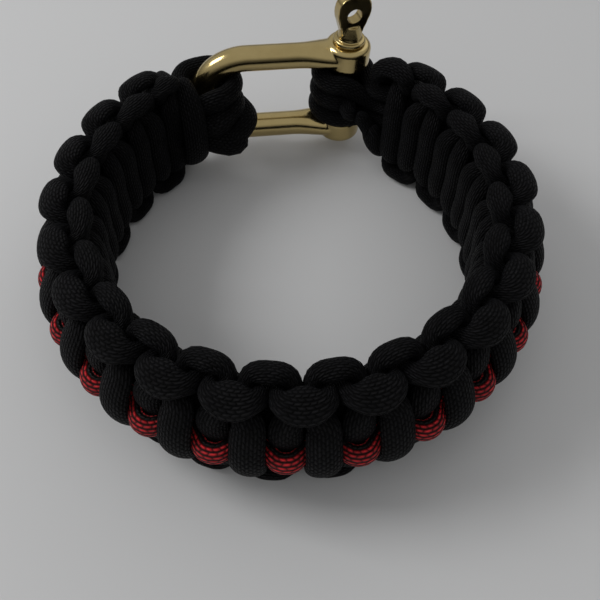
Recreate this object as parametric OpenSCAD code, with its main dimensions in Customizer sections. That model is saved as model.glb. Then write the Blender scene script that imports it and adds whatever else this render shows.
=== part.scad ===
// Paracord bracelet: four core strands bound by a flat square-knot weave and closed by a screw-pin shackle.
// It stands on its lower edge at z = 0. The ring's axis is Z, the front is at -Y and the shackle at +Y.

/* [Weave] */
// Distance from one bar to the next along the middle of the band
bar_pitch = 5; // [4:0.1:7]
// Number of bars on the outer face
bar_count = 39; // [25:2:59]
// Length of the ring from the last bar, past the shackle, to the first bar
clasp_l = 48.4; // [40:0.1:60]
// Thickness of the paracord
cord_d = 3.7; // [3:0.1:5]
// Space between the cords and the metal they are wound around
wrap_gap = 0.3; // [0.2:0.05:0.6]
// Distance from the last bar to the pin, along the ring
pin_neck = 9.2; // [8:0.1:14]
// Distance from the first bar to the bend of the bow, along the ring
bow_neck = 10; // [8:0.1:14]
// Slack of the three turns of cord around the pin
pin_slack = 1.4; // [0:0.1:4]
// Slack of the upper turn of cord around the bow
bow_slack = 2.2; // [1.5:0.1:5]
// Slack of the two lower turns of cord around the bow
loose_slack = 4.7; // [2:0.1:9]

/* [Shackle] */
// Diameter of the shackle's rod
rod_d = 5.3; // [4:0.1:7]
// Space above, below and between the turns of cord inside the shackle
jaw_play = 0.47; // [0.3:0.01:1]
// How far the pin stands outside the ring's middle line
pin_out = 2.9; // [0:0.1:5]
// How far the bend of the bow stands outside the ring's middle line
bow_out = 1.4; // [0:0.1:5]
// Height of the pin's middle above the middle of the band
pin_rise = 1.2; // [-3:0.1:4]
// Height of the bow's middle above the middle of the band
bow_rise = 2.8; // [-3:0.1:4]
// Outer diameter of the two eyes
eye_d = 9.3; // [8:0.1:13]
// Height of each eye along the pin
eye_h = 5.6; // [4:0.1:8]
// Rounding of the eyes' edges
eye_round = 1.2; // [0.5:0.1:2]
// Length of the flare from an arm to its eye
flare_l = 4.5; // [2:0.1:6]

/* [Screw pin] */
// Diameter of the pin's shank
pin_d = 5; // [3.5:0.1:7]
// Space around the pin in its bores
pin_fit = 0.06; // [0.02:0.01:0.1]
// Diameter of the collar under the head
collar_d = 6.6; // [5:0.1:9]
// Thickness of the collar
collar_h = 1.1; // [0.6:0.1:2]
// Height of the tapered neck between the collar and the flat head
neck_h = 3; // [1:0.1:5]
// Diameter of the neck where it leaves the collar
neck_d = 5; // [3:0.1:7]
// Height of the flat head above the neck
head_h = 7; // [5:0.1:10]
// Width of the flat head
head_w = 7; // [5:0.1:10]
// Thickness of the flat head
head_t = 2.3; // [1.5:0.1:4]
// Diameter of the hole in the head
hole_d = 3.2; // [2:0.1:4.5]
// Length of the pin that shows below the lower eye
pin_tip = 0.4; // [0:0.1:2]
// Turn of the flat head about the pin
head_turn = 12; // [-90:1:90]

/* [Hidden] */
// Sides of a cord's section, and the step between two sections of a strand along the ring
SIDES = 6;
STRAND_STEP = 16;
CUT_GAP = 0.5;

ring_r = ((bar_count - 1) * bar_pitch + clasp_l) / (2 * PI);
first_s = -(bar_count - 2) / 2 * bar_pitch;
last_s = first_s + (bar_count - 1) * bar_pitch;
function bar_s(k) = first_s + k * bar_pitch;
function odd(k) = k % 2 != 0;
function unit(v) = v / norm(v);

// Core strands: radius, and height of the inner and the outer strand of each pair
core_r = 0.455 * cord_d;
core_in = 0.494 * cord_d;
core_out = 1.481 * cord_d;

// One turn of cord inside the shackle: half height and half thickness
turn_a = 0.51 * cord_d;
turn_b = 0.5 * cord_d;
turn_step = 2 * turn_a + jaw_play;
jaw_w = 3 * turn_step + jaw_play;
arm_z = (jaw_w + rod_d) / 2;

// Half a turn of a working cord, from the middle of a bar to the tip of its loop.
// Each row: shift along the band as a share of bar_pitch; height and depth as shares of cord_d;
// lean of the flat side; half width as a share of bar_pitch and of cord_d; half thickness of cord_d.
LONG_HALF = [
    [0, 0, 1.736, 0, 0.48, 0, 0.41],
    [0, 0.66, 1.52, 26, 0.47, 0, 0.41],
    [0, 1.75, 0.93, 22, 0.44, 0, 0.42],
    [-0.23, 2.4, 0.35, 54, 0.205, 0, 0.46],
    [-0.23, 2.84, -0.32, 62, 0.205, 0, 0.46],
    [0.5, 3.42, -0.583, 118, 0, 0.56, 0.4]
];
SHORT_HALF = [
    [0, 0, 0.9, 0, 0.46, 0, 0.41],
    [0, 1.75, 0.89, 12, 0.44, 0, 0.42],
    [-0.23, 2.4, 0.35, 54, 0.205, 0, 0.46],
    [-0.23, 2.84, -0.32, 62, 0.205, 0, 0.46],
    [0.5, 3.42, -0.583, 118, 0, 0.56, 0.4]
];
BACK_HALF = [
    [0, 0, 0.9, 0, 0.46, 0, 0.41],
    [0, 1.75, 0.89, 12, 0.43, 0, 0.42],
    [-0.23, 2.4, 0.35, 54, 0.205, 0, 0.46],
    [-0.23, 2.84, -0.32, 62, 0.205, 0, 0.46],
    [0.05, 3.3, -0.535, 100, 0, 0.45, 0.44],
    [0.5, 3.42, -0.583, 118, 0, 0.6, 0.4]
];
// The back cord's last bar at the bow, which lies over the turns of cord there, and its cut upper end
KNOT_HALF = [
    [0, 0, 1.95, 0, 0.43, 0, 0.41],
    [0, 1.75, 1.32, 24, 0.42, 0, 0.42],
    [-0.23, 2.46, 0.42, 54, 0.205, 0, 0.46],
    [-0.23, 2.84, -0.32, 62, 0.205, 0, 0.46],
    [0.5, 3.42, -0.583, 118, 0, 0.58, 0.4]
];
KNOT_END = [
    [0, 1.75, 1.32, 24, 0.42, 0, 0.42],
    [0.1, 2.4, 0.62, 46, 0.26, 0, 0.44],
    [0.16, 2.72, 0.02, 62, 0.205, 0, 0.42]
];
// The front cord from the bow, over the upper core's turn, to its first loop at the top.
// Each row as above, with its shift from the first bar towards the bow.
FIRST_LOOP = [
    [1.1, 0.85, 1.66, 0, 0, 0.44, 0.41],
    [0.79, 1.4, 1.86, 0, 0, 0.42, 0.4],
    [0.77, 2.08, 1.5, 30, 0, 0.4, 0.41],
    [0.7, 2.58, 0.66, 54, 0.205, 0, 0.44],
    [0.6, 2.88, -0.15, 66, 0.205, 0, 0.46],
    [0.25, 3.38, -0.5, 118, 0, 0.56, 0.4]
];
// The centre cord over one short and one long bar, from under a long bar to under the next.
// Each row: place as a share of two pitches; depth, half width and half thickness as shares of cord_d.
CENTRE_ROWS = [
    [0, 0.9, 0.5, 0.4],
    [0.13, 0.94, 0.48, 0.34],
    [0.38, 1.68, 0.48, 0.34],
    [0.5, 1.82, 0.5, 0.44],
    [0.62, 1.68, 0.48, 0.34],
    [0.87, 0.94, 0.48, 0.34]
];

// A point of the band: s along the ring, w up, n outward from the middle line
function turn_of(s) = s / ring_r * 180 / PI;
function outward(s) = [sin(turn_of(s)), -cos(turn_of(s)), 0];
function band(s, w, n) = (ring_r + n) * outward(s) + [0, 0, w];

// The shackle's frame: x from the bow to the pin, y outward, z along the pin
pin_at = band(last_s + pin_neck, pin_rise, pin_out);
bow_at = band(first_s - bow_neck, bow_rise, bow_out);
shackle_l = norm(pin_at - bow_at);
ux = unit(pin_at - bow_at);
uz = unit([0, 0, 1] - ux[2] * ux);
uy = cross(uz, ux);
function turned(v) = v[0] * ux + v[1] * uy + v[2] * uz;

// A stop of a cord is [place, direction of the flat side, half width, half thickness].
// face is 1 on the outer face and -1 on the inner face; side is 1 at the top and -1 at the bottom.
function weave_stop(s, r, side, face) =
    let (n = face * r[2] * cord_d, a = r[4] * bar_pitch * (ring_r + n) / ring_r + r[5] * cord_d)
    [band(s, side * r[1] * cord_d, n),
     side * sin(r[3]) * [0, 0, 1] + face * cos(r[3]) * outward(s), a, r[6] * cord_d];
function band_stop(s, w, n, face, a, b) = [band(s, w, n), face * outward(s), a, b];

// A turn of cord around the pin or the bow, from the outer to the inner side.
// way is 1 at the pin and -1 at the bow; from and to are angles around the metal from the band's side.
// start_z is the height, above the metal's middle, at which the cord comes in on the outer side.
TURN_STEP = 30;
function turn_stop(at, way, metal_d, slack, z, t) =
    let (r = (metal_d / 2 + wrap_gap) / cos(TURN_STEP / 2) + turn_b, x = r * cos(t) - (t < 90 ? 0 : slack))
    [at + turned([way * x, r * sin(t), z]), turned([way * cos(t), sin(t), 0]), turn_a, turn_b];
function turn_stops(at, way, metal_d, slack, z, start_z) =
    [for (t = [0 : TURN_STEP : 270])
        turn_stop(at, way, metal_d, slack, z + (start_z - z) * max(0, 1 - t / 90), t)];
function pin_turn(z) = turn_stops(pin_at, 1, pin_d, pin_slack, z, z);
function bow_turn(z, start_w) =
    turn_stops(bow_at, -1, rod_d, z > turn_a ? bow_slack : loose_slack, z, start_w - bow_rise);
function reversed(v) = [for (i = [len(v) - 1 : -1 : 0]) v[i]];

// Sections of a swept cord, and its faces; loop is true for a cord that closes on itself
function section(stops, i, loop) =
    let (m = len(stops), q = stops[i],
         p0 = loop ? stops[(i + m - 1) % m][0] : stops[max(i - 1, 0)][0],
         p1 = loop ? stops[(i + 1) % m][0] : stops[min(i + 1, m - 1)][0],
         t = unit(p1 - p0), e2 = unit(q[1] - (q[1] * t) * t), e1 = cross(t, e2))
    [for (j = [0 : SIDES - 1])
        let (f = 360 * j / SIDES) q[0] + q[2] * cos(f) * e1 + q[3] * sin(f) * e2];
function sweep_points(stops, loop) =
    [for (i = [0 : len(stops) - 1]) each section(stops, i, loop)];
function skin(m, loop) =
    [for (i = [0 : m - (loop ? 1 : 2)], j = [0 : SIDES - 1])
        let (a = i * SIDES, b = (i + 1) % m * SIDES, k = (j + 1) % SIDES)
        each [[a + j, a + k, b + k], [a + j, b + k, b + j]]];
function start_cap() = [for (j = [SIDES - 1 : -1 : 0]) j];
function end_cap(m) = [for (j = [0 : SIDES - 1]) (m - 1) * SIDES + j];
module sweep(stops, loop) {
    m = len(stops);
    faces = loop ? skin(m, true) : concat(skin(m, false), [start_cap(), end_cap(m)]);
    polyhedron(points = sweep_points(stops, loop), faces = faces, convexity = 20);
}

// Working cords: the half turns before and after each loop tip, one loop after the other
function bar_rows(k, face) = k < 0 ? KNOT_HALF : face < 0 ? BACK_HALF : odd(k) ? LONG_HALF : SHORT_HALF;
function loop_side(k, face) = (odd(k) ? 1 : -1) * face;
function row_stops(rows, s, way, side, face) =
    [for (r = rows) weave_stop(s + way * r[0] * bar_pitch, r, side, face)];
function inner_rows(rows) = [for (i = [len(rows) - 2 : -1 : 1]) rows[i]];
function loop_stops(k, face) = let (side = loop_side(k, face))
    concat(
        row_stops(bar_rows(k, face), bar_s(k), 1, side, face),
        row_stops(inner_rows(bar_rows(k + 1, face)), bar_s(k + 1), -1, side, face));
function weave_stops(face) = concat(
    face > 0
        ? concat(row_stops(FIRST_LOOP, first_s, -1, 1, 1), row_stops(inner_rows(SHORT_HALF), first_s, -1, 1, 1))
        : concat(row_stops(reversed(KNOT_END), bar_s(-1), -1, 1, -1), loop_stops(-1, -1)),
    [for (k = [0 : bar_count - 2]) each loop_stops(k, face)]);

// A working cord between the end bar and the neck; way is 1 at the pin and -1 at the bow
function lead_stop(way, along, w, n, face) =
    band_stop((way > 0 ? last_s : first_s) + way * along * bar_pitch, w * cord_d, n * cord_d,
              face, 0.44 * cord_d, 0.42 * cord_d);
function lead_stops(way, face) = [
    lead_stop(way, 0.1, 0.8 * way * face, 0.9 * face, face),
    lead_stop(way, 0.44, 0.12 * way * face, 0.97 * face, face)
];
function tail_w(way) = way > 0 ? 0 : 0.25;
function tail_stops(way, gap) = [
    lead_stop(way, 1.16, tail_w(way), -1, -1),
    lead_stop(way, 0.8 + gap / bar_pitch, tail_w(way), -1, -1)
];
function end_stops(way) = [lead_stop(way, 0.8, tail_w(way), -1, -1)];
front_stops = concat(
    reversed(tail_stops(-1, CUT_GAP)), reversed([for (i = [2 : 9]) bow_turn(0, 0)[i]]),
    weave_stops(1),
    lead_stops(1, 1), pin_turn(0), tail_stops(1, CUT_GAP));
back_stops = concat(
    weave_stops(-1),
    lead_stops(1, -1), end_stops(1));

// Core cords: out along the outer strand, around the pin, back along the inner strand, around the bow
function strand(w, face, s0, s1) =
    let (m = ceil(abs(turn_of(s1 - s0)) / STRAND_STEP))
    [for (i = [0 : m]) band_stop(s0 + (s1 - s0) * i / m, w, 0, face, core_r, core_r)];
function core_stops(side) =
    let (z = side * turn_step, s0 = first_s - 0.3 * bar_pitch, s1 = last_s + 0.3 * bar_pitch)
    concat(
        strand(side * core_out, 1, s0, s1), pin_turn(z),
        strand(side * core_in, -1, s1, s0), reversed(bow_turn(z, side * core_out)));

// Centre cord: from under the first long bar to under the last one
centre_turns = (bar_count - 3) / 2;
function centre_stop(s, r) = band_stop(s, 0, r[1] * cord_d, 1, r[2] * cord_d, r[3] * cord_d);
centre_stops = concat(
    [centre_stop(bar_s(1) - 0.46 * bar_pitch, CENTRE_ROWS[0])],
    [for (i = [0 : centre_turns - 1], r = CENTRE_ROWS) centre_stop(bar_s(1 + 2 * i) + r[0] * 2 * bar_pitch, r)],
    [centre_stop(bar_s(bar_count - 2), CENTRE_ROWS[0]),
     centre_stop(bar_s(bar_count - 2) + 0.46 * bar_pitch, CENTRE_ROWS[0])]);

// Lifts a child from the middle height of the band to where the band's lower edge stands on z = 0
stand_z = -min([for (p = sweep_points(back_stops, false)) p[2]]);
module standing() {
    translate([0, 0, stand_z]) children();
}

module upper_core() {
    color([0.03, 0.03, 0.04]) standing() sweep(core_stops(1), true);
}

module lower_core() {
    color([0.03, 0.03, 0.04]) standing() sweep(core_stops(-1), true);
}

module front_cord() {
    color([0.05, 0.05, 0.06]) standing() sweep(front_stops, false);
}

module back_cord() {
    color([0.05, 0.05, 0.06]) standing() sweep(back_stops, false);
}

module centre_cord() {
    color([0.62, 0.05, 0.04]) standing() sweep(centre_stops, false);
}

// Places a child in the shackle's frame with its origin at the middle of the pin
module in_shackle() {
    standing() multmatrix([
        [ux[0], uy[0], uz[0], pin_at[0]],
        [ux[1], uy[1], uz[1], pin_at[1]],
        [ux[2], uy[2], uz[2], pin_at[2]],
        [0, 0, 0, 1]]) children();
}

// One eye with rounded edges, standing on z = 0
module eye() {
    r = eye_d / 2;
    rotate_extrude() union() {
        square([r - eye_round, eye_h]);
        translate([0, eye_round]) square([r, eye_h - 2 * eye_round]);
        translate([r - eye_round, eye_round]) circle(eye_round);
        translate([r - eye_round, eye_h - eye_round]) circle(eye_round);
    }
}

// Arm, flare and eye at the height of one arm
module arm(side) {
    bend_x = arm_z - shackle_l;
    flare_x = -(eye_d / 2 + flare_l / 2);
    translate([bend_x, 0, side * arm_z]) rotate([0, 90, 0]) cylinder(h = -bend_x, d = rod_d);
    translate([flare_x, 0, side * arm_z]) rotate([0, 90, 0]) cylinder(h = flare_l, d1 = rod_d, d2 = 0.97 * eye_h);
    translate([0, 0, side * (jaw_w + eye_h) / 2 - eye_h / 2]) eye();
}

module shackle_bow() {
    color([0.85, 0.62, 0.22]) in_shackle() difference() {
        union() {
            arm(1);
            arm(-1);
            translate([arm_z - shackle_l, 0, 0]) rotate([90, 0, 0]) rotate([0, 0, 90])
                rotate_extrude(angle = 180) translate([arm_z, 0]) circle(d = rod_d);
        }
        cube([2 * eye_d, 2 * eye_d, jaw_w], center = true);
        cylinder(h = 2 * (jaw_w + 2 * eye_h), d = pin_d + 2 * pin_fit, center = true);
    }
}

// Flat head with its hole, standing on z = 0
module flat_head() {
    r = head_w / 2;
    translate([0, head_t / 2, 0]) rotate([90, 0, 0]) linear_extrude(head_t) difference() {
        union() {
            translate([0, head_h - r]) circle(r);
            polygon([[-neck_d / 2.4, -neck_h / 2], [neck_d / 2.4, -neck_h / 2], [r, head_h - r], [-r, head_h - r]]);
        }
        translate([0, head_h - r]) circle(d = hole_d);
    }
}

module shackle_pin() {
    top_z = jaw_w / 2 + eye_h;
    color([0.87, 0.65, 0.25]) in_shackle() {
        translate([0, 0, -top_z - pin_tip]) cylinder(h = 2 * top_z + pin_tip, d = pin_d);
        translate([0, 0, top_z]) cylinder(h = collar_h, d = collar_d);
        translate([0, 0, top_z + collar_h]) cylinder(h = neck_h, d1 = neck_d, d2 = head_t * 1.4);
        rotate([0, 0, head_turn]) translate([0, 0, top_z + collar_h + neck_h]) flat_head();
    }
}

upper_core();
lower_core();
front_cord();
back_cord();
centre_cord();
shackle_bow();
shackle_pin();
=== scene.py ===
# Paracord bracelet with a screw-pin shackle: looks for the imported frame.
import math
import bmesh
import bpy
from mathutils import Matrix, Vector


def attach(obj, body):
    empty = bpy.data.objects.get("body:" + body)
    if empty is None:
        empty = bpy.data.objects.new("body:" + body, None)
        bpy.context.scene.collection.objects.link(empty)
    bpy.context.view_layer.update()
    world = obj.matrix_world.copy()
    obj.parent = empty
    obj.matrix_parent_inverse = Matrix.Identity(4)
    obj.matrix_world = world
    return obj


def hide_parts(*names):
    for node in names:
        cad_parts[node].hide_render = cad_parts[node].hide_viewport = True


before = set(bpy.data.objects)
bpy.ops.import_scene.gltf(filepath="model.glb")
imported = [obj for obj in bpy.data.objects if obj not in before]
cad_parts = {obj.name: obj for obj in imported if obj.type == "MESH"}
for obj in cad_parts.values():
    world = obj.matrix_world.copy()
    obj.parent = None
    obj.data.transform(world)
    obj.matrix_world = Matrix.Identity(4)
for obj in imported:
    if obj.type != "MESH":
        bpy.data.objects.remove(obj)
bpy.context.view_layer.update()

from types import SimpleNamespace

mm = 0.001

# Camera, fitted to the ring's outline; angles in degrees, distances in mm
view = {
    "elevation": 51.5,
    "azimuth": -2.87,
    "distance": 147.64,
    "lens": 47.8,
    "sensor": 36,
    "nearest": 5,
    "shiftX": 0.0163,
    "shiftY": -0.1102,
}

# The ring and its bars, in mm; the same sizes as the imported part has
weave = {
    "cord": 3.7,
    "pitch": 5.0,
    "bars": 39,
    "claspLength": 48.4,
    "standHeight": 14.307,
    "smoothSteps": 3,
    "sides": 28,
    "endTaper": (0.45, 0.82, 0.96),
}
loopLength = (weave["bars"] - 1) * weave["pitch"] + weave["claspLength"]
weave["ringRadius"] = loopLength / (2 * math.pi)
weave["firstBar"] = -(weave["bars"] - 2) / 2 * weave["pitch"]
weave["lastBar"] = weave["firstBar"] + (weave["bars"] - 1) * weave["pitch"]

# Half a bar of a working cord, from its middle to where its loop begins. A row is: shift along
# the band in pitches, height and depth in cords, lean in degrees, half width in pitches and in
# cords, half thickness in cords
longHalf = [
    (0, 0, 1.76, 0, 0.49, 0, 0.42), (0, 0.66, 1.66, 14, 0.49, 0, 0.42),
    (0, 1.32, 1.4, 24, 0.49, 0, 0.42), (0, 1.87, 1.06, 26, 0.47, 0, 0.42),
    (-0.11, 2.127, 0.8, 42, 0.41, 0, 0.454), (-0.22, 2.405, 0.345, 56, 0.31, 0, 0.478),
    (-0.22, 2.836, -0.321, 62, 0.3, 0, 0.478),
]
shortHalf = [
    (0, 0, 0.9, 0, 0.48, 0, 0.405), (0, 0.55, 0.92, 0, 0.48, 0, 0.405),
    (0, 1.2, 1.06, 0, 0.48, 0, 0.42), (0, 1.77, 0.98, 22, 0.47, 0, 0.417),
    (-0.11, 2.127, 0.77, 40, 0.41, 0, 0.454), (-0.22, 2.405, 0.345, 54, 0.31, 0, 0.478),
    (-0.22, 2.836, -0.321, 62, 0.3, 0, 0.478),
]
backHalf = [
    (0, 0, 0.92, 0, 0.48, 0, 0.41), (0, 0.66, 0.95, 4, 0.48, 0, 0.41),
    (0, 1.27, 0.96, 6, 0.48, 0, 0.41), (0, 1.77, 0.9, 16, 0.46, 0, 0.41),
    (-0.1, 2.15, 0.71, 40, 0.38, 0, 0.454), (-0.22, 2.405, 0.345, 54, 0.3, 0, 0.478),
    (-0.22, 2.836, -0.321, 64, 0.3, 0, 0.478),
]
# The extra half knot at the bow lies wider and over the others
knotHalf = [
    (0.32, 0, 1.86, 0, 0.64, 0, 0.41), (0.28, 0.75, 1.74, 10, 0.64, 0, 0.42),
    (0.2, 1.4, 1.5, 20, 0.64, 0, 0.43), (0.1, 1.9, 1.2, 30, 0.64, 0, 0.44),
    (0.06, 2.3, 0.8, 44, 0.64, 0, 0.46), (0.12, 2.58, 0.28, 56, 0.62, 0, 0.47),
    (0.14, 2.84, -0.32, 62, 0.54, 0, 0.478),
]

# From the end of a half bar to the tip of its loop
frontTips = [
    (0.0, 3.3, -0.535, 98, 0, 0.46, 0.43), (0.5, 3.418, -0.57, 118, 0, 0.613, 0.4),
]
backTips = [
    (0.0, 3.18, -0.66, 106, 0, 0.6, 0.44), (0.22, 3.23, -0.76, 116, 0, 0.74, 0.43),
    (0.5, 3.25, -0.79, 119, 0, 0.79, 0.425),
]
# The back cord's loops at the lower edge, flatter against what the band stands on
lowTips = [
    (0.05, 3.317, -0.535, 100, 0, 0.442, 0.43), (0.22, 3.39, -0.56, 110, 0, 0.56, 0.41),
    (0.5, 3.418, -0.57, 118, 0, 0.613, 0.4),
]
# The front cord's last loop has no neighbour beyond it, so it stands up more
lastTips = [
    (0.0, 3.4, -0.3, 92, 0, 0.52, 0.47), (0.5, 3.62, -0.22, 104, 0, 0.64, 0.45),
]
# The back cord's last loop is pulled up, and its last bar leans towards the one before
lastLowTips = [
    (0.05, 2.92, -0.5, 96, 0, 0.46, 0.45), (0.22, 2.9, -0.52, 100, 0, 0.54, 0.44),
    (0.5, 2.88, -0.52, 102, 0, 0.56, 0.43),
]
lastFall = [
    (0.06, 1.2, 0.96, 6, 0.46, 0, 0.41), (0.18, 1.7, 0.9, 16, 0.42, 0, 0.41),
    (0.32, 2.06, 0.72, 40, 0.34, 0, 0.45), (0.42, 2.36, 0.345, 54, 0.3, 0, 0.47),
    (0.46, 2.68, -0.28, 62, 0.3, 0, 0.47), (0.46, 2.84, -0.48, 92, 0, 0.46, 0.45),
    (0.48, 2.87, -0.52, 100, 0, 0.5, 0.44), (0.5, 2.88, -0.52, 102, 0, 0.56, 0.43),
]
# Where the back cord starts under the knot, and where the front cord comes in from the bow
knotEnd = [
    (0.14, 2.78, -0.06, 62, 0.3, 0, 0.42), (0.06, 2.55, 0.36, 56, 0.38, 0, 0.43),
    (-0.02, 2.25, 0.82, 44, 0.48, 0, 0.44), (-0.12, 1.8, 1.26, 26, 0.56, 0, 0.42),
    (-0.2, 1.3, 1.58, 18, 0.6, 0, 0.41), (-0.28, 0.75, 1.77, 10, 0.63, 0, 0.41),
]
firstLoop = [
    (1.1, 0.85, 1.66, 0, 0, 0.46, 0.41), (0.86, 1.15, 1.84, 0, 0, 0.44, 0.4),
    (0.78, 1.6, 1.84, 8, 0, 0.43, 0.4), (0.77, 2.08, 1.5, 30, 0, 0.42, 0.41),
    (0.73, 2.38, 1.08, 44, 0.22, 0, 0.43), (0.69, 2.62, 0.56, 56, 0.22, 0, 0.44),
    (0.6, 2.9, -0.18, 68, 0.23, 0, 0.45), (0.45, 3.24, -0.45, 95, 0, 0.46, 0.43),
    (0.1, 3.38, -0.52, 118, 0, 0.58, 0.4), (-0.05, 3.3, -0.52, 104, 0, 0.48, 0.43),
]

# Where the shackle lies in the gap of the band, in mm
shackle = {
    "rod": 5.3,
    "pin": 5.0,
    "jawPlay": 0.47,
    "pinNeck": 9.2,
    "pinRise": 1.2,
    "pinOut": 2.9,
    "bowNeck": 10.0,
    "bowRise": 2.8,
    "bowOut": 1.4,
}


def barPlace(k):
    return weave["firstBar"] + k * weave["pitch"]


def outward(s):
    a = s / weave["ringRadius"]
    return Vector((math.sin(a), -math.cos(a), 0.0))


def onBand(s, w, n):
    return outward(s) * (weave["ringRadius"] + n) + Vector((0, 0, w))


# The turns of cord around the pin and the bow: half sizes in cords, gap, slack and sag in mm.
# bowSlack and sag are for the upper, middle and lower turn, sagShares for the stops of a turn
turns = {
    "halfHeight": 0.51,
    "halfThick": 0.5,
    "wrapGap": 0.3,
    "squash": 1.13,
    "stops": 10,
    "stopAngle": 30,
    "outerStops": 3,
    "pinSlack": 0.5,
    "bowSlack": (1.8, 2.2, 4.9),
    "sag": (0.7, 1.6, 2.0),
    "sagShares": (0, 0, 0, 0.15, 0.45, 0.75, 0.7, 0.6, 0.8, 1.4),
    "sagDown": 0.9,
    "sagWiden": 0.2,
}

# The shackle's own frame: x from the bow to the pin, y outward, z along the pin
pinMiddle = onBand(weave["lastBar"] + shackle["pinNeck"], shackle["pinRise"], shackle["pinOut"])
bowMiddle = onBand(weave["firstBar"] - shackle["bowNeck"], shackle["bowRise"], shackle["bowOut"])
shackleLength = (pinMiddle - bowMiddle).length
alongShackle = (pinMiddle - bowMiddle).normalized()
upShackle = (Vector((0, 0, 1)) - alongShackle.z * alongShackle).normalized()
outShackle = upShackle.cross(alongShackle)
turnHalfHeight = turns["halfHeight"] * weave["cord"]
turnHalfThick = turns["halfThick"] * weave["cord"]
turnStep = 2 * turnHalfHeight + shackle["jawPlay"]
jawWidth = 3 * turnStep + shackle["jawPlay"]
armHeight = (jawWidth + shackle["rod"]) / 2


# A stop of a cord is (place, direction of its flat side, half width, half thickness), in mm
def weaveStop(s, row, side, face):
    height, depth, leanAngle, pitchWidth, cordWidth, thick = row[1:]
    radius = weave["ringRadius"]
    n = face * depth * weave["cord"]
    lean = math.radians(leanAngle)
    width = pitchWidth * weave["pitch"] * (radius + n) / radius + cordWidth * weave["cord"]
    flat = Vector((0, 0, side * math.sin(lean))) + outward(s) * (face * math.cos(lean))
    return onBand(s, side * height * weave["cord"], n), flat, width, thick * weave["cord"]


def bandStop(s, w, n, face, halfWidth, halfThick):
    return onBand(s, w, n), outward(s) * face, halfWidth, halfThick


def turnStops(middle, way, metal, slack, z, startZ):
    stops = []
    half = math.radians(turns["stopAngle"] / 2)
    r = (metal / 2 + turns["wrapGap"]) / math.cos(half) + turnHalfThick
    for step in range(turns["stops"]):
        t = math.radians(step * turns["stopAngle"])
        x = r * math.cos(t) - (0 if step < turns["outerStops"] else slack)
        height = z + (startZ - z) * max(0, 1 - step / turns["outerStops"])
        place = (middle + alongShackle * (way * x) + outShackle * (r * math.sin(t))
                 + upShackle * height)
        radial = alongShackle * (way * math.cos(t)) + outShackle * math.sin(t)
        stops.append((place, radial, turnHalfHeight * turns["squash"], turnHalfThick))
    return stops


def pinTurn(z):
    return turnStops(pinMiddle, 1, shackle["pin"], turns["pinSlack"], z, z)


def bowTurn(z, startW):
    layer = 0 if z > turnHalfHeight else 1 if z > -turnHalfHeight else 2
    stops = turnStops(bowMiddle, -1, shackle["rod"], turns["bowSlack"][layer], z,
                      startW - shackle["bowRise"])
    # the lower turns sag inwards and down on their inner side
    droop = -outShackle - upShackle * turns["sagDown"]
    sagged = []
    for share, (place, radial, half, thick) in zip(turns["sagShares"], stops):
        drop = share * turns["sag"][layer]
        wider = half * (1 + turns["sagWiden"] * drop)
        sagged.append((place + droop * drop, radial, wider, thick))
    return sagged


def barRows(k, face):
    if k < 0:
        return knotHalf
    return backHalf if face < 0 else longHalf if k % 2 else shortHalf


def tipRows(k, face, side):
    last = k == weave["bars"] - 2
    if face > 0:
        return lastTips if last else frontTips
    if side > 0:
        return backTips
    return lastLowTips if last else lowTips


def rowStops(rows, s, way, side, face):
    return [weaveStop(s + way * row[0] * weave["pitch"], row, side, face) for row in rows]


# Bar k from its middle, over the loop at the edge, to the middle of bar k + 1
def loopStops(k, face):
    side = (1 if k % 2 else -1) * face
    tips = tipRows(k, face, side)
    rise = barRows(k, face) + tips
    fall = barRows(k + 1, face) + tips
    if face < 0 and k == weave["bars"] - 2:
        fall = fall[:2] + lastFall
    return (rowStops(rise, barPlace(k), 1, side, face)
            + rowStops(fall[-2:0:-1], barPlace(k + 1), -1, side, face))


# How the working cords leave the weave: along it in pitches, height and depth in cords
cordEnds = {
    "halfWidth": 0.46,
    "halfThick": 0.44,
    "leads": ((0.1, 0.8, 0.9), (0.44, 0.12, 0.97)),
    "tails": (1.16, 0.85),
    "butt": 0.83,
    "pinTailHeight": 0.16,
    "bowTailHeight": 0.25,
    "tailDepth": -1,
}


def endStop(way, along, w, n, face):
    end = weave["lastBar"] if way > 0 else weave["firstBar"]
    cord = weave["cord"]
    return bandStop(end + way * along * weave["pitch"], w * cord, n * cord, face,
                    cordEnds["halfWidth"] * cord, cordEnds["halfThick"] * cord)


def leadStops(face):
    return [endStop(1, along, w * face, n * face, face) for along, w, n in cordEnds["leads"]]


# The tails meet the back cord's ends on the inner side
def tailStops(way, places):
    height = cordEnds["pinTailHeight"] if way > 0 else cordEnds["bowTailHeight"]
    return [endStop(way, along, height, cordEnds["tailDepth"], -1) for along in places]


def workingCord(face):
    bars = [stop for k in range(weave["bars"] - 1) for stop in loopStops(k, face)]
    if face > 0:
        start = (rowStops(firstLoop, weave["firstBar"], -1, 1, 1)
                 + rowStops(shortHalf[:0:-1], weave["firstBar"], -1, 1, 1))
        return (tailStops(-1, cordEnds["tails"])[::-1] + bowTurn(0, 0)[:1:-1] + start + bars
                + leadStops(1) + pinTurn(0) + tailStops(1, cordEnds["tails"]))
    start = rowStops(knotEnd, barPlace(-1), -1, 1, -1) + loopStops(-1, -1)
    return start + bars + leadStops(-1) + tailStops(1, [cordEnds["butt"]])


# A core cord runs inside the weave in two strands: heights and radius in cords
core = {
    "high": 1.481,
    "low": 0.494,
    "radius": 0.46,
    "overrun": 0.3,
    "strandSteps": 60,
    "smoothSteps": 4,
}


def strandStops(w, face, s0, s1):
    count = core["strandSteps"]
    r = core["radius"] * weave["cord"]
    return [bandStop(s0 + (s1 - s0) * i / count, w, 0, face, r, r) for i in range(count + 1)]


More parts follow.
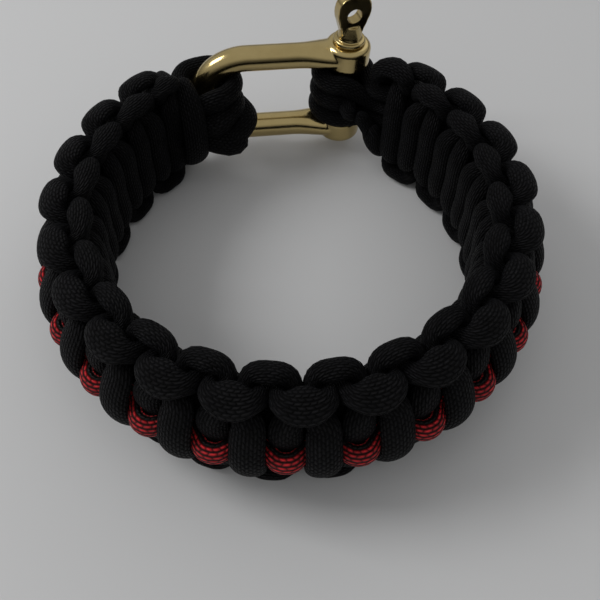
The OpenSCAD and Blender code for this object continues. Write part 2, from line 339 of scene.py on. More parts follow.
def coreCord(side):
    z = side * turnStep
    high, low = side * core["high"] * weave["cord"], side * core["low"] * weave["cord"]
    s0 = weave["firstBar"] - core["overrun"] * weave["pitch"]
    s1 = weave["lastBar"] + core["overrun"] * weave["pitch"]
    return (strandStops(high, 1, s0, s1) + pinTurn(z)
            + strandStops(low, -1, s1, s0) + bowTurn(z, high)[::-1])


# The centre cord rises over every short bar and dips under every long one. A row is: share of
# two pitches along the band, then depth, half width and half thickness in cords
centre = {
    "overrun": 0.46,
    "smoothSteps": 5,
    "rows": [
        (0.0, 0.9, 0.5, 0.38), (0.11, 0.92, 0.49, 0.36), (0.2, 1.08, 0.5, 0.36),
        (0.3, 1.37, 0.53, 0.39), (0.4, 1.63, 0.56, 0.42), (0.5, 1.7, 0.58, 0.43),
        (0.6, 1.63, 0.56, 0.42), (0.7, 1.37, 0.53, 0.39), (0.8, 1.08, 0.5, 0.36),
        (0.89, 0.92, 0.49, 0.36),
    ],
}


def centreStop(s, row):
    depth, width, thick = (share * weave["cord"] for share in row[1:])
    return bandStop(s, 0, depth, 1, width, thick)


def centreCord():
    low = centre["rows"][0]
    overrun = centre["overrun"] * weave["pitch"]
    stops = [centreStop(barPlace(1) - overrun, low)]
    for i in range((weave["bars"] - 3) // 2):
        stops += [centreStop(barPlace(1 + 2 * i) + row[0] * 2 * weave["pitch"], row)
                  for row in centre["rows"]]
    last = barPlace(weave["bars"] - 2)
    return stops + [centreStop(last, low), centreStop(last + overrun, low)]


# Smooth curve through the stops, with the flat side, width and thickness carried along
def smoothPath(stops, loop, steps):
    rows = [list(place) + list(flat.normalized()) + [width, thick]
            for place, flat, width, thick in stops]
    count = len(rows)
    path = []
    for i in range(count if loop else count - 1):
        a = rows[(i - 1) % count] if loop or i > 0 else rows[0]
        b, c = rows[i], rows[(i + 1) % count]
        d = rows[(i + 2) % count] if loop or i + 2 < count else rows[-1]
        for j in range(steps):
            t = j / steps
            path.append([0.5 * (2 * q + (r - p) * t + (2 * p - 5 * q + 4 * r - s) * t * t
                                + (3 * q - p - 3 * r + s) * t ** 3)
                         for p, q, r, s in zip(a, b, c, d)])
    if not loop:
        path.append(rows[-1])
    return path


# The spine of a cord: a mesh of edges whose points know the cord's section there
def spineMesh(name, path, loop):
    me = bpy.data.meshes.new(name)
    count = len(path)
    lift = weave["standHeight"]
    points = [(p[0] * mm, p[1] * mm, (p[2] + lift) * mm) for p in path]
    edges = [(i, (i + 1) % count) for i in range(count if loop else count - 1)]
    me.from_pydata(points, edges, [])
    kinds = {"flatSide": "FLOAT_VECTOR", "halfWidth": "FLOAT", "halfThick": "FLOAT",
             "travel": "FLOAT", "flatness": "FLOAT"}
    for label, kind in kinds.items():
        me.attributes.new(label, kind, "POINT")
    values = {label: me.attributes[label].data for label in kinds}
    run = 0.0
    for i, p in enumerate(path):
        if i:
            run += (Vector(points[i]) - Vector(points[i - 1])).length
        near = min(i, count - 1 - i)
        tapered = not loop and near < len(weave["endTaper"])
        share = weave["endTaper"][near] if tapered else 1.0
        width, thick = p[6], p[7]
        values["flatSide"][i].vector = p[3:6]
        values["halfWidth"][i].value = width * mm * share
        values["halfThick"][i].value = thick * mm * share
        values["travel"][i].value = run
        values["flatness"][i].value = 0.5 * (width ** 2 - thick ** 2) / (width ** 2 + thick ** 2)
    me.update()
    return me


# Geometry Nodes: sweeps a braided cord along a spine of edges
def cordTree():
    tree = bpy.data.node_groups.new("sweepCord", "GeometryNodeTree")
    face = tree.interface
    face.new_socket("Spine", in_out="INPUT", socket_type="NodeSocketGeometry")
    sidesIn = face.new_socket("Sides", in_out="INPUT", socket_type="NodeSocketInt")
    clothIn = face.new_socket("Cloth", in_out="INPUT", socket_type="NodeSocketMaterial")
    face.new_socket("Cord", in_out="OUTPUT", socket_type="NodeSocketGeometry")
    sidesIn.default_value = weave["sides"]
    nodes, links = tree.nodes, tree.links

    def add(kind, **settings):
        node = nodes.new(kind)
        for key, value in settings.items():
            setattr(node, key, value)
        return node

    def attribute(name, kind):
        node = add("GeometryNodeInputNamedAttribute", data_type=kind)
        node.inputs["Name"].default_value = name
        return node.outputs["Attribute"]

    def vectorMath(operation, a, b=None, scale=None):
        node = add("ShaderNodeVectorMath", operation=operation)
        links.new(a, node.inputs[0])
        if b is not None:
            links.new(b, node.inputs[1])
        if scale is not None:
            links.new(scale, node.inputs["Scale"])
        return node.outputs["Value"] if operation == "DOT_PRODUCT" else node.outputs["Vector"]

    def store(geometry, name, value):
        node = add("GeometryNodeStoreNamedAttribute", data_type="FLOAT_VECTOR", domain="POINT")
        node.inputs["Name"].default_value = name
        links.new(geometry, node.inputs["Geometry"])
        links.new(value, node.inputs["Value"])
        return node.outputs["Geometry"]

    groupIn, groupOut = add("NodeGroupInput"), add("NodeGroupOutput")
    toCurve = add("GeometryNodeMeshToCurve")
    links.new(groupIn.outputs["Spine"], toCurve.inputs["Mesh"])
    # the two directions across the cord, worked out on the spine
    tangent = add("GeometryNodeInputTangent").outputs["Tangent"]
    flatSide = attribute("flatSide", "FLOAT_VECTOR")
    leanAlong = vectorMath("SCALE", tangent, scale=vectorMath("DOT_PRODUCT", flatSide, tangent))
    thickWay = vectorMath("NORMALIZE", vectorMath("SUBTRACT", flatSide, leanAlong))
    wideWay = vectorMath("CROSS_PRODUCT", tangent, thickWay)
    thickReach = vectorMath("SCALE", thickWay, scale=attribute("halfThick", "FLOAT"))
    wideReach = vectorMath("SCALE", wideWay, scale=attribute("halfWidth", "FLOAT"))
    here = add("GeometryNodeInputPosition").outputs["Position"]
    spine = store(toCurve.outputs["Curve"], "spinePlace", here)
    spine = store(spine, "thickReach", thickReach)
    spine = store(spine, "wideReach", wideReach)
    # a round profile that knows its own angle
    ring = add("GeometryNodeCurvePrimitiveCircle")
    links.new(groupIn.outputs["Sides"], ring.inputs["Resolution"])
    ring.inputs["Radius"].default_value = mm
    ringUnit = vectorMath("NORMALIZE", add("GeometryNodeInputPosition").outputs["Position"])
    profile = store(ring.outputs["Curve"], "roundPlace", ringUnit)
    sweep = add("GeometryNodeCurveToMesh")
    sweep.inputs["Fill Caps"].default_value = True
    links.new(spine, sweep.inputs["Curve"])
    links.new(profile, sweep.inputs["Profile Curve"])
    # flatten the round tube to the cord's own section
    split = add("ShaderNodeSeparateXYZ")
    links.new(attribute("roundPlace", "FLOAT_VECTOR"), split.inputs[0])
    wide = vectorMath("SCALE", attribute("wideReach", "FLOAT_VECTOR"), scale=split.outputs["X"])
    thick = vectorMath("SCALE", attribute("thickReach", "FLOAT_VECTOR"), scale=split.outputs["Y"])
    reach = vectorMath("ADD", wide, thick)
    skin = vectorMath("ADD", attribute("spinePlace", "FLOAT_VECTOR"), reach)
    place = add("GeometryNodeSetPosition")
    links.new(sweep.outputs["Mesh"], place.inputs["Geometry"])
    links.new(skin, place.inputs["Position"])
    # where each spot of the sheath is: along the cord, and around it as a cosine and a sine
    join = add("ShaderNodeCombineXYZ")
    links.new(attribute("travel", "FLOAT"), join.inputs["X"])
    links.new(split.outputs["X"], join.inputs["Y"])
    links.new(split.outputs["Y"], join.inputs["Z"])
    sheath = store(place.outputs["Geometry"], "sheath", join.outputs[0])
    smooth = add("GeometryNodeSetShadeSmooth")
    links.new(sheath, smooth.inputs["Geometry"])
    real = add("GeometryNodeRealizeInstances")
    links.new(smooth.outputs["Geometry"], real.inputs["Geometry"])
    setCloth = add("GeometryNodeSetMaterial")
    links.new(real.outputs["Geometry"], setCloth.inputs["Geometry"])
    links.new(groupIn.outputs["Cloth"], setCloth.inputs["Material"])
    links.new(setCloth.outputs["Geometry"], groupOut.inputs["Cord"])
    return tree, sidesIn.identifier, clothIn.identifier


# The finished mesh keeps only the attributes that the cloth reads
helperAttributes = ("spinePlace", "thickReach", "wideReach", "roundPlace", "flatSide",
                    "halfWidth", "halfThick", "travel")


def sweepCord(name, stops, loop, steps, cloth, nodeName, tree):
    group, sidesId, clothId = tree
    path = smoothPath(stops, loop, steps)
    spine = bpy.data.objects.new(name + "Spine", spineMesh(name + "Spine", path, loop))
    bpy.context.collection.objects.link(spine)
    modifier = spine.modifiers.new("cord", "NODES")
    modifier.node_group = group
    modifier[sidesId] = weave["sides"]
    modifier[clothId] = cloth
    graph = bpy.context.evaluated_depsgraph_get()
    me = bpy.data.meshes.new_from_object(spine.evaluated_get(graph))
    spine.modifiers.remove(modifier)
    bpy.data.objects.remove(spine)
    bm = bmesh.new()
    bm.from_mesh(me)
    bmesh.ops.recalc_face_normals(bm, faces=bm.faces)
    if bm.calc_volume(signed=True) < 0:
        bmesh.ops.reverse_faces(bm, faces=bm.faces)
    bm.to_mesh(me)
    bm.free()
    for helper in helperAttributes:
        if helper in me.attributes:
            me.attributes.remove(me.attributes[helper])
    piece = bpy.data.objects.new(name, me)
    bpy.context.collection.objects.link(piece)
    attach(piece, "bracelet")
    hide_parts(nodeName)
    print("cord", name, "stops", len(stops), "faces", len(me.polygons))
    return piece


# A new material with what its maker needs: its shader, and short ways to add and join nodes
def newMaterial(name):
    material = bpy.data.materials.new(name)
    material.use_nodes = True
    nodes, links = material.node_tree.nodes, material.node_tree.links
    shader = nodes["Principled BSDF"]

    def add(kind, **settings):
        node = nodes.new(kind)
        for key, value in settings.items():
            setattr(node, key, value)
        return node

    def calc(operation, a, b=None, clamp=False):
        node = add("ShaderNodeMath", operation=operation, use_clamp=clamp)
        for i, value in enumerate((a, b)):
            if value is None:
                continue
            if isinstance(value, (int, float)):
                node.inputs[i].default_value = value
            else:
                links.new(value, node.inputs[i])
        return node.outputs[0]

    def noise(scale, detail):
        node = add("ShaderNodeTexNoise")
        node.inputs["Scale"].default_value = scale
        node.inputs["Detail"].default_value = detail
        links.new(add("ShaderNodeTexCoord").outputs["Object"], node.inputs["Vector"])
        return node.outputs["Fac"]

    def mixColor(share, first, second):
        node = add("ShaderNodeMix", data_type="RGBA")
        links.new(share, node.inputs[0])
        for socket, value in ((node.inputs[6], first), (node.inputs[7], second)):
            if isinstance(value, tuple):
                socket.default_value = (*value, 1)
            else:
                links.new(value, socket)
        return node.outputs[2]

    def bump(height, strength, distance):
        node = add("ShaderNodeBump")
        node.inputs["Strength"].default_value = strength
        node.inputs["Distance"].default_value = distance
        links.new(height, node.inputs["Height"])
        links.new(node.outputs["Normal"], shader.inputs["Normal"])

    return SimpleNamespace(material=material, shader=shader, add=add, calc=calc, noise=noise,
                           mixColor=mixColor, bump=bump, link=links.new)


# The braided sheath: rows of short slanted dashes, each row half a dash behind the next.
# Rows are counted around the cord, a dash is in metres
braid = {
    "rows": 24,
    "dash": 0.00102,
    "endDepth": 1.0,
}
tracerBraid = {
    "rows": 16,
    "dash": 0.00098,
    "endDepth": 0.6,
}
dashForm = {
    "slant": 0.25,
    "sidePower": 1.4,
    "endPower": 2.4,
    "threadsAcross": 16.0,
    "threadsAlong": 5.0,
    "rowStride": 37.0,
    "hashStep": 12.9898,
    "hashGain": 43758.5,
}


def braidPattern(kit, yarns):
    add, calc = kit.add, kit.calc
    where = add("ShaderNodeAttribute", attribute_name="sheath")
    flat = add("ShaderNodeAttribute", attribute_name="flatness")
    parts = add("ShaderNodeSeparateXYZ")
    kit.link(where.outputs["Vector"], parts.inputs[0])
    angle = calc("ARCTAN2", parts.outputs["Z"], parts.outputs["Y"])
    # even rows on a flattened cord too
    squeeze = calc("MULTIPLY", calc("SINE", calc("MULTIPLY", angle, 2.0)), flat.outputs["Fac"])
    evened = calc("SUBTRACT", angle, calc("MULTIPLY", squeeze, 0.5))
    around = calc("MULTIPLY", evened, yarns["rows"] / (2 * math.pi))
    row = calc("FLOOR", around)
    across = calc("SUBTRACT", calc("FRACT", around), 0.5)
    parity = calc("MULTIPLY", calc("FRACT", calc("MULTIPLY", row, 0.5)), 2.0)
    way = calc("SUBTRACT", calc("MULTIPLY", parity, 2.0), 1.0)
    lean = calc("MULTIPLY", way, dashForm["slant"])
    run = calc("DIVIDE", parts.outputs["X"], yarns["dash"])
    run = calc("ADD", run, calc("MULTIPLY", parity, 0.5))
    run = calc("ADD", run, calc("MULTIPLY", lean, across))
    inDash = calc("SUBTRACT", calc("FRACT", run), 0.5)
    # a dash is high in its middle and falls to its sides and ends
    toSide = calc("ABSOLUTE", calc("MULTIPLY", across, 2.0))
    toEnd = calc("ABSOLUTE", calc("MULTIPLY", inDash, 2.0))
    sideFall = calc("POWER", toSide, dashForm["sidePower"])
    endFall = calc("MULTIPLY", calc("POWER", toEnd, dashForm["endPower"]), yarns["endDepth"])
    crest = calc("MULTIPLY", calc("SUBTRACT", 1.0, sideFall), calc("SUBTRACT", 1.0, endFall),
                 clamp=True)
    threads = calc("SINE", calc("ADD", calc("MULTIPLY", around, dashForm["threadsAcross"]),
                                calc("MULTIPLY", inDash, dashForm["threadsAlong"])))
    # one number for each dash, for its own shade
    number = calc("ADD", calc("FLOOR", run), calc("MULTIPLY", row, dashForm["rowStride"]))
    wave = calc("SINE", calc("MULTIPLY", number, dashForm["hashStep"]))
    chance = calc("FRACT", calc("MULTIPLY", wave, dashForm["hashGain"]))
    return row, crest, threads, chance


# What all three sheaths share, then each one's own colours; dark is painted shade in the grooves
# between dashes, light a painted highlight on their crests
sheathLook = {
    "patchScale": 260.0,
    "patchDetail": 4.0,
    "chanceShare": 0.5,
    "patchShare": 0.9,
    "roughness": 0.72,
    "crestRoughness": -0.2,
    "sheen": 0.008,
    "sheenRoughness": 0.4,
    "bump": 1.0,
    "bumpDistance": 0.0003,
    "threadBump": 0.05,
}
blackSheath = {
    "dark": (0.0005, 0.0005, 0.0006),
    "light": (0.0125, 0.0122, 0.0134),
    "sheenTint": (0.5, 0.55, 0.7),
    "specular": 0.075,
}
coreSheath = {
    "dark": (0.0005, 0.0005, 0.0006),
    "light": (0.01, 0.01, 0.011),
    "sheenTint": (0.5, 0.55, 0.7),
    "specular": 0.075,
}
tracerSheath = {
    "dark": (0.0008, 0.0006, 0.0006),
    "light": (0.005, 0.003, 0.003),
    "sheenTint": (0.6, 0.4, 0.4),
    "specular": 0.2,
}
# The red yarns: a dense band of rows and a lone one above it, the rest of the sheath is black
tracer = {
    "red": (0.78, 0.028, 0.036),
    "denseFrom": 2.5,
    "denseTo": 7.5,
    "loneRow": -7.0,
    "crestPower": 2.1,
    "vary": 0.6,
    "least": 0.65,
}


def clothMaterial(name, own, yarns, red=None):
    kit = newMaterial(name)
    calc, shader = kit.calc, kit.shader
    row, crest, threads, chance = braidPattern(kit, yarns)
    patchy = kit.noise(sheathLook["patchScale"], sheathLook["patchDetail"])
    vary = calc("ADD", calc("MULTIPLY", chance, sheathLook["chanceShare"]),
                calc("MULTIPLY", patchy, sheathLook["patchShare"]))
    # The dash crests are painted lighter and the grooves between them darker, as painted
    # highlight and painted shade; the chance and patchy noise are the yarns' own uneven tone
    color = kit.mixColor(calc("MULTIPLY", crest, vary, clamp=True), own["dark"], own["light"])
    if red:
        dense = calc("MULTIPLY", calc("GREATER_THAN", row, red["denseFrom"]),
                     calc("LESS_THAN", row, red["denseTo"]))
        lone = calc("LESS_THAN", calc("ABSOLUTE", calc("SUBTRACT", row, red["loneRow"])), 0.5)
        # The red is painted strongest on the dash crests and fades into the sheath's colour at
        # the dash sides and ends, as painted shade in the grooves
        tone = calc("MULTIPLY", calc("MAXIMUM", dense, lone),
                    calc("POWER", crest, red["crestPower"]))
        shade = calc("ADD", calc("MULTIPLY", chance, red["vary"]), red["least"])
        color = kit.mixColor(calc("MULTIPLY", tone, shade, clamp=True), color, red["red"])
    kit.link(color, shader.inputs["Base Color"])
    rough = calc("ADD", calc("MULTIPLY", crest, sheathLook["crestRoughness"]),
                 sheathLook["roughness"])
    kit.link(rough, shader.inputs["Roughness"])
    shader.inputs["Specular IOR Level"].default_value = own["specular"]
    shader.inputs["Sheen Weight"].default_value = sheathLook["sheen"]
    shader.inputs["Sheen Roughness"].default_value = sheathLook["sheenRoughness"]
    shader.inputs["Sheen Tint"].default_value = (*own["sheenTint"], 1)
    kit.bump(calc("ADD", crest, calc("MULTIPLY", threads, sheathLook["threadBump"])),
             sheathLook["bump"], sheathLook["bumpDistance"])
    return kit.material


# Gold-coloured plating, a little cloudy from wear
plating = {
    "dark": (0.47, 0.36, 0.155),
    "light": (0.60, 0.475, 0.225),
    "cloudScale": 260.0,
    "cloudDetail": 5.0,
    "grainScale": 2600.0,
    "grainDetail": 4.0,
    "roughness": 0.1,
    "bump": 0.15,
    "bumpDistance": 0.00005,
}
# shade scales the plating's colour: for the bow it is the plating's own tone, for the pin a
# darker copy as painted shade; wear only adds roughness
bowPlating = {"wear": 0.16, "shade": 0.94}
pinPlating = {"wear": 0.24, "shade": 0.8}


def goldMaterial(name, own):
    kit = newMaterial(name)
    cloudy = kit.noise(plating["cloudScale"], plating["cloudDetail"])
    fine = kit.noise(plating["grainScale"], plating["grainDetail"])
    # The pin's lower shade darkens its colour as painted shade
    dark = tuple(part * own["shade"] for part in plating["dark"])
    light = tuple(part * own["shade"] for part in plating["light"])
    kit.link(kit.mixColor(cloudy, dark, light), kit.shader.inputs["Base Color"])
    kit.shader.inputs["Metallic"].default_value = 1.0
    rough = kit.calc("ADD", kit.calc("MULTIPLY", cloudy, own["wear"]), plating["roughness"])
    kit.link(rough, kit.shader.inputs["Roughness"])
    kit.bump(fine, plating["bump"], plating["bumpDistance"])
    return kit.material


print("stage: materials")
blackCloth = clothMaterial("blackSheath", blackSheath, braid)
coreCloth = clothMaterial("coreSheath", coreSheath, braid)
redCloth = clothMaterial("redTracerSheath", tracerSheath, tracerBraid, tracer)
bowGold = goldMaterial("polishedGold", bowPlating)
pinGold = goldMaterial("wornAndShadedGold", pinPlating)

print("stage: cords")
tree = cordTree()
weaveSteps = weave["smoothSteps"]
sweepCord("frontCord", workingCord(1), False, weaveSteps, blackCloth,
          "front_cord", tree)
sweepCord("backCord", workingCord(-1), False, weaveSteps, blackCloth,
          "back_cord", tree)
sweepCord("centreCord", centreCord(), False, centre["smoothSteps"], redCloth,
          "centre_cord", tree)
sweepCord("upperCore", coreCord(1), True, core["smoothSteps"], coreCloth,
          "upper_core", tree)
sweepCord("lowerCore", coreCord(-1), True, core["smoothSteps"], coreCloth,
          "lower_core", tree)


# From the shackle's own frame to the ring's, in metres
shackleFrame = Matrix((
    (alongShackle.x, outShackle.x, upShackle.x, pinMiddle.x * mm),
    (alongShackle.y, outShackle.y, upShackle.y, pinMiddle.y * mm),
    (alongShackle.z, outShackle.z, upShackle.z, (pinMiddle.z + weave["standHeight"]) * mm),
    (0, 0, 0, 1),
)) @ Matrix.Diagonal((mm, mm, mm, 1))


# How all the metal forms are finished: merging in metres, angle in degrees
metalFinish = {
    "axisRadius": 1e-6,
    "merge": 1e-7,
    "sharpAngle": 40,
    "softening": 0.5,
}


# Closed turned form about z from (radius, height) pairs that start and end on the axis
def lathe(profile, segments=64):
    bm = bmesh.new()
    rings = []
    for radius, z in profile:
        if radius < metalFinish["axisRadius"]:
            rings.append([bm.verts.new((0, 0, z))])
            continue
        angles = [2 * math.pi * i / segments for i in range(segments)]
        rings.append([bm.verts.new((radius * math.cos(a), radius * math.sin(a), z))
                      for a in angles])
    for low, high in zip(rings, rings[1:]):
        for i in range(segments):
            j = (i + 1) % segments
            if len(low) == 1:
                bm.faces.new((low[0], high[j], high[i]))
            elif len(high) == 1:
                bm.faces.new((low[i], low[j], high[0]))
            else:
                bm.faces.new((low[i], low[j], high[j], high[i]))
    bmesh.ops.recalc_face_normals(bm, faces=bm.faces)
    return bm


# Closed swept rod in one plane (y is across it), with a pair of radii at each point
def tube(points, radii, segments=48):
    bm = bmesh.new()
    rings = []
    side = Vector((0, 1, 0))
    for i, (p, r) in enumerate(zip(points, radii)):
        a, b = points[max(i - 1, 0)], points[min(i + 1, len(points) - 1)]
        up = (b - a).normalized().cross(side)
        rings.append([bm.verts.new(p + (side * math.cos(q) * r[0]) + (up * math.sin(q) * r[1]))
                      for q in (2 * math.pi * k / segments for k in range(segments))])
    for low, high in zip(rings, rings[1:]):
        for i in range(segments):
            j = (i + 1) % segments
            bm.faces.new((low[i], low[j], high[j], high[i]))
    bm.faces.new(list(reversed(rings[0])))
    bm.faces.new(rings[-1])
    bmesh.ops.recalc_face_normals(bm, faces=bm.faces)
    return bm


def asObject(bm, name):
    me = bpy.data.meshes.new(name)
    bm.to_mesh(me)
    bm.free()
    thing = bpy.data.objects.new(name, me)
    bpy.context.collection.objects.link(thing)
    return thing


def applied(thing):
    graph = bpy.context.evaluated_depsgraph_get()
    me = bpy.data.meshes.new_from_object(thing.evaluated_get(graph))
    thing.modifiers.clear()
    thing.data = me
    return thing


# Adds or takes away other forms, which are used up
def carve(base, others, operation):
    for other in others:
        step = base.modifiers.new("carve", "BOOLEAN")
        step.operation = operation
        step.solver = "EXACT"
        step.object = other
    applied(base)
    for other in others:
        bpy.data.objects.remove(other)


# One skin over overlapping forms with soft fillets between them, then true cuts
def meltTogether(name, things, cuts, voxel, smoothing):
    base = things[0]
    carve(base, things[1:], "UNION")
    skin = base.modifiers.new("skin", "REMESH")
    skin.mode = "VOXEL"
    skin.voxel_size = voxel
    applied(base)
    soft = base.modifiers.new("soft", "SMOOTH")
    soft.factor = metalFinish["softening"]
    soft.iterations = smoothing
    applied(base)
    carve(base, cuts, "DIFFERENCE")
    base.name = name
    base.data.name = name
    return base


def finishMetal(piece, body, nodeName, metal):
    piece.data.transform(shackleFrame)
    bm = bmesh.new()
    bm.from_mesh(piece.data)
    bmesh.ops.remove_doubles(bm, verts=bm.verts, dist=metalFinish["merge"])
    bmesh.ops.recalc_face_normals(bm, faces=bm.faces)
    bm.to_mesh(piece.data)
    bm.free()
    piece.data.materials.clear()
    piece.data.materials.append(metal)
    piece.data.shade_smooth()
    piece.data.set_sharp_from_angle(angle=math.radians(metalFinish["sharpAngle"]))
    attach(piece, body)
    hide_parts(nodeName)
    print("metal", piece.name, "faces", len(piece.data.polygons))
    return piece


# The D-shaped rod with its two eyes, in mm
bowForm = {
    "eye": 9.3,
    "eyeHeight": 5.6,
    "eyeRound": 1.2,
    "roundSteps": 8,
    "flare": 6.0,
    "flareWidth": 0.86,
    "flareHeight": 0.485,
    "armEnd": 1.5,
    "armSteps": 36,
    "bendSteps": 48,
    "borePlay": 0.06,
    "boreReach": 40,
    "jawCut": (13, 20),
    "voxel": 0.17,
    "smoothing": 6,
}


def bowRod():
    rod = shackle["rod"] / 2
    bendX = armHeight - shackleLength
    reach = bowForm["eye"] / 2
    flareEnd = reach + bowForm["flare"]
    end, steps = bowForm["armEnd"], bowForm["armSteps"]
    points, radii = [], []

    def armRow(i, z):
        x = -end + (bendX + end) * i / steps
        t = max(0.0, min(1.0, (x + flareEnd) / (flareEnd - end)))
        ease = t * t * (3 - 2 * t)
        points.append(Vector((x, 0, z)))
        radii.append((rod + (reach * bowForm["flareWidth"] - rod) * ease,
                      rod + (bowForm["eyeHeight"] * bowForm["flareHeight"] - rod) * ease))
    for i in range(steps + 1):
        armRow(i, armHeight)
    for i in range(1, bowForm["bendSteps"]):
        q = math.pi * i / bowForm["bendSteps"]
        points.append(Vector((bendX - armHeight * math.sin(q), 0, armHeight * math.cos(q))))
        radii.append((rod, rod))
    for i in range(steps, -1, -1):
        armRow(i, -armHeight)
    return asObject(tube(points, radii), "bowRod")


# A thick disc with rounded rims
def eyeDisc(low):
    r, h, e = bowForm["eye"] / 2, bowForm["eyeHeight"], bowForm["eyeRound"]
    angles = [math.pi / 2 * i / bowForm["roundSteps"] for i in range(bowForm["roundSteps"] + 1)]
    profile = [(0, low), (r - e, low)]
    profile += [(r - e + e * math.sin(q), low + e - e * math.cos(q)) for q in angles[1:]]
    profile += [(r - e + e * math.cos(q), low + h - e + e * math.sin(q)) for q in angles]
    return asObject(lathe(profile + [(0, low + h)]), "eye")


def makeBow():
    h = bowForm["eyeHeight"]
    eyes = [eyeDisc(side * (jawWidth + h) / 2 - h / 2) for side in (1, -1)]
    r, reach = shackle["pin"] / 2 + bowForm["borePlay"], bowForm["boreReach"]
    bore = lathe([(0, -reach), (r, -reach), (r, reach), (0, reach)])
    jaw = bmesh.new()
    bmesh.ops.create_cube(jaw, size=1, matrix=Matrix.Diagonal((*bowForm["jawCut"], jawWidth, 1)))
    cuts = [asObject(bore, "bore"), asObject(jaw, "jaw")]
    bow = meltTogether("shackleBow", [bowRod()] + eyes, cuts,
                       bowForm["voxel"], bowForm["smoothing"])
    return finishMetal(bow, "bracelet", "shackle_bow", bowGold)


# The screw pin with its collar, neck and flat head, in mm
pinForm = {
    "tip": 0.4,
    "tipChamfer": 0.5,
    "collar": 6.6,
    "collarHeight": 1.1,
    "collarChamfer": 0.25,
    "neck": 5.0,
    "neckHeight": 3.0,
    "shoulder": 0.8,
    "shoulderShare": 0.97,
    "waistShare": 1.5,
    "segments": 96,
    "headWidth": 7.0,
    "headHeight": 7.0,
    "headThick": 2.3,
    "headTurn": 12.0,
    "headSquare": 2.6,
    "headCrown": 1.12,
    "headFrom": -30,
    "headSweep": 240,
    "headSteps": 48,
    "footShare": 2.35,
    "footDepth": 1.6,
    "hole": 3.2,
    "holeDrop": 0.9,
    "holeReach": 6,
    "voxel": 0.13,
    "smoothing": 5,
}


def pinBody(top, neckFoot, neckTop, thick):
    shank, collar = shackle["pin"] / 2, pinForm["collar"] / 2
    low = -top - pinForm["tip"]
    tip, rim = pinForm["tipChamfer"], pinForm["collarChamfer"]
    neck = pinForm["neck"] / 2
    return asObject(lathe([
        (0, low), (shank - tip, low), (shank, low + tip), (shank, top), (collar - rim, top),
        (collar, top + rim), (collar, neckFoot - rim), (collar - rim, neckFoot),
        (neck, neckFoot), (neck * pinForm["shoulderShare"], neckFoot + pinForm["shoulder"]),
        (thick * pinForm["waistShare"], neckTop), (0, neckTop),
    ], pinForm["segments"]), "pinBody")


# The flat head: a rounded plate on a tapered foot
def headPlate(r, middle, start, thick, turned):
    power = pinForm["headSquare"]
    outline = []
    for i in range(pinForm["headSteps"] + 1):
        q = math.radians(pinForm["headFrom"] + pinForm["headSweep"] * i / pinForm["headSteps"])
        square = (abs(math.cos(q)) ** power + abs(math.sin(q)) ** power) ** (-1 / power)
        crown = min(square, pinForm["headCrown"])
        outline.append((r * square * math.cos(q), middle + r * crown * math.sin(q)))
    foot = pinForm["neck"] / pinForm["footShare"]
    outline += [(-foot, start - pinForm["footDepth"]), (foot, start - pinForm["footDepth"])]
    bm = bmesh.new()
    front = [bm.verts.new((x, -thick, z)) for x, z in outline]
    back = [bm.verts.new((x, thick, z)) for x, z in outline]
    bm.faces.new(front)
    bm.faces.new(list(reversed(back)))
    for i in range(len(outline)):
        j = (i + 1) % len(outline)
        bm.faces.new((front[i], back[i], back[j], front[j]))
    bmesh.ops.recalc_face_normals(bm, faces=bm.faces)
    plate = asObject(bm, "plate")
    plate.data.transform(turned)
    return plate


def makePin():
    top = jawWidth / 2 + bowForm["eyeHeight"]
    neckFoot = top + pinForm["collarHeight"]
    neckTop = neckFoot + pinForm["neckHeight"]
    thick = pinForm["headThick"] / 2
    r = pinForm["headWidth"] / 2
    middle = neckTop + pinForm["headHeight"] - r
    turned = Matrix.Rotation(math.radians(pinForm["headTurn"]), 4, "Z")
    body = pinBody(top, neckFoot, neckTop, thick)
    plate = headPlate(r, middle, neckTop, thick, turned)
    bore, reach = pinForm["hole"] / 2, pinForm["holeReach"]
    hole = lathe([(0, -reach), (bore, -reach), (bore, reach), (0, reach)])
    bmesh.ops.transform(hole, verts=hole.verts, matrix=turned
                        @ Matrix.Translation((0, 0, middle - pinForm["holeDrop"]))
                        @ Matrix.Rotation(math.radians(90), 4, "X"))
    pin = meltTogether("shacklePin", [body, plate], [asObject(hole, "hole")],
                       pinForm["voxel"], pinForm["smoothing"])
    return finishMetal(pin, "pin", "shackle_pin", pinGold)


print("stage: shackle")
makeBow()
makePin()


# Floor, light and camera; lengths in metres
studio = {
    "floor": (0.62, 0.622, 0.625),
    "floorReach": 1.6,
    "floorRoughness": 0.8,
    "skyHigh": 0.49,
    "skyLow": 0.09,
    "skyFrom": -0.02,
    "skyTo": 0.55,
    "skySlope": (-0.08, 0.12, 1.0),
    "lightAim": (0, 0, 0.015),
    "key": 1.35,
    "keyPlace": (-0.42, 0.08, 0.42),
    "keySize": (0.22, 0.22),
    "fill": 0.12,
    "fillPlace": (0.3, 0.4, 0.4),
    "fillSize": (0.3, 0.3),
}


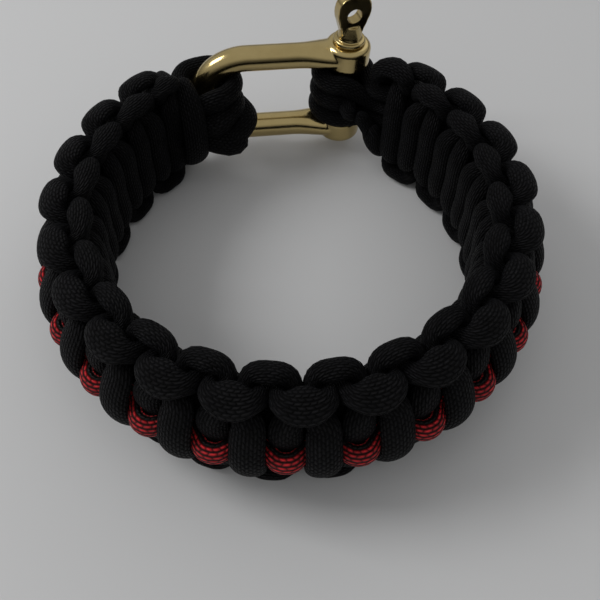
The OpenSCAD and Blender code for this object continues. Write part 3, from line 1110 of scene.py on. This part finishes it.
# Bright overhead and dark at the horizon, so that the metal has something to mirror
def makeSky():
    world = bpy.data.worlds.new("studio")
    world.use_nodes = True
    nodes, links = world.node_tree.nodes, world.node_tree.links
    direction = nodes.new("ShaderNodeTexCoord")
    slope = nodes.new("ShaderNodeVectorMath")
    slope.operation = "DOT_PRODUCT"
    slope.inputs[1].default_value = studio["skySlope"]
    links.new(direction.outputs["Generated"], slope.inputs[0])
    ramp = nodes.new("ShaderNodeMapRange")
    ramp.interpolation_type = "SMOOTHSTEP"
    for socket, setting in (("From Min", "skyFrom"), ("From Max", "skyTo"),
                            ("To Min", "skyLow"), ("To Max", "skyHigh")):
        ramp.inputs[socket].default_value = studio[setting]
    links.new(slope.outputs["Value"], ramp.inputs["Value"])
    back = nodes["Background"]
    back.inputs["Color"].default_value = (1, 1, 1, 1)
    links.new(ramp.outputs["Result"], back.inputs["Strength"])
    bpy.context.scene.world = world


def makeFloor():
    me = bpy.data.meshes.new("floor")
    s = studio["floorReach"]
    me.from_pydata([(-s, -s, 0), (s, -s, 0), (s, s, 0), (-s, s, 0)], [], [(0, 1, 2, 3)])
    floor = bpy.data.objects.new("floor", me)
    bpy.context.collection.objects.link(floor)
    pale = newMaterial("paleFloor")
    pale.shader.inputs["Base Color"].default_value = (*studio["floor"], 1)
    pale.shader.inputs["Roughness"].default_value = studio["floorRoughness"]
    me.materials.append(pale.material)


def softBox(name, place, size, power):
    light = bpy.data.lights.new(name, "AREA")
    light.shape = "RECTANGLE"
    light.size, light.size_y = size
    light.energy = power
    lamp = bpy.data.objects.new(name, light)
    lamp.location = place
    aim = Vector(studio["lightAim"]) - Vector(place)
    lamp.rotation_euler = aim.to_track_quat("-Z", "Y").to_euler()
    bpy.context.collection.objects.link(lamp)


def makeCamera():
    data = bpy.data.cameras.new("camera")
    data.lens = view["lens"]
    data.sensor_width = view["sensor"]
    data.shift_x, data.shift_y = view["shiftX"], view["shiftY"]
    data.clip_start = view["nearest"] * mm
    camera = bpy.data.objects.new("camera", data)
    e, a = math.radians(view["elevation"]), math.radians(view["azimuth"])
    back = Vector((0, -math.cos(e), math.sin(e))) * view["distance"] * mm
    middle = Vector((0, 0, weave["standHeight"] * mm))
    camera.location = Matrix.Rotation(a, 4, "Z") @ back + middle
    camera.rotation_euler = (math.pi / 2 - e, 0, a)
    bpy.context.collection.objects.link(camera)
    bpy.context.scene.camera = camera


print("stage: studio")
makeFloor()
makeSky()
softBox("keyLight", studio["keyPlace"], studio["keySize"], studio["key"])
softBox("fillLight", studio["fillPlace"], studio["fillSize"], studio["fill"])
makeCamera()
bpy.context.scene.view_settings.view_transform = "Standard"
